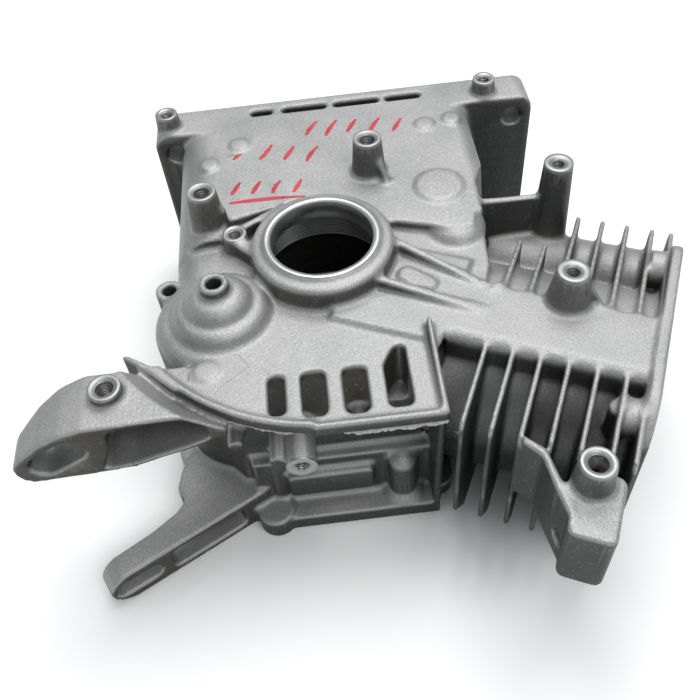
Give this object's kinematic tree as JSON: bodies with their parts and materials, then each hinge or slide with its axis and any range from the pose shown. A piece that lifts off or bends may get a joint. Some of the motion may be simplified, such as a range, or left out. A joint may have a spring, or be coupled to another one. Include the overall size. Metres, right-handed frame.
{
  "type": "small engine crankcase and cylinder block",
  "caption": "Die-cast crankcase with an inclined finned cylinder, iron liner, crank seal bore, mounting base, bored posts and slotted arms.",
  "frame": {"origin": "on the crank axis, at the mouth of the seal bore", "axes": "+Z along the crank axis out of the flywheel side, +Y from the crank axis to the mounting base, +X from the crank axis to the cylinder's side"},
  "size_m": [0.2735, 0.2442, 0.1145],
  "materials": {
    "cast_aluminium": "blasted casting, fine grain",
    "liner_iron": "honed",
    "plug_steel": "plated",
    "washer_brass": "dull"
  },
  "bodies": {
    "root": {"casting_crankcase": "cast_aluminium", "casting_sump": "cast_aluminium", "casting_base": "cast_aluminium", "casting_bearing_hub": "cast_aluminium", "casting_governor_dome": "cast_aluminium", "casting_barrel": "cast_aluminium", "casting_fins": "cast_aluminium", "casting_head_flange": "cast_aluminium", "casting_shroud_plate": "cast_aluminium", "casting_arm_flywheel": "cast_aluminium", "casting_arm_cover": "cast_aluminium", "casting_tank_bracket": "cast_aluminium", "casting_stay_post": "cast_aluminium", "cylinder_liner": "liner_iron", "drain_plug_left": "plug_steel", "drain_plug_right": "plug_steel", "drain_washer_left": "washer_brass", "drain_washer_right": "washer_brass"}
  },
  "joints": []
}
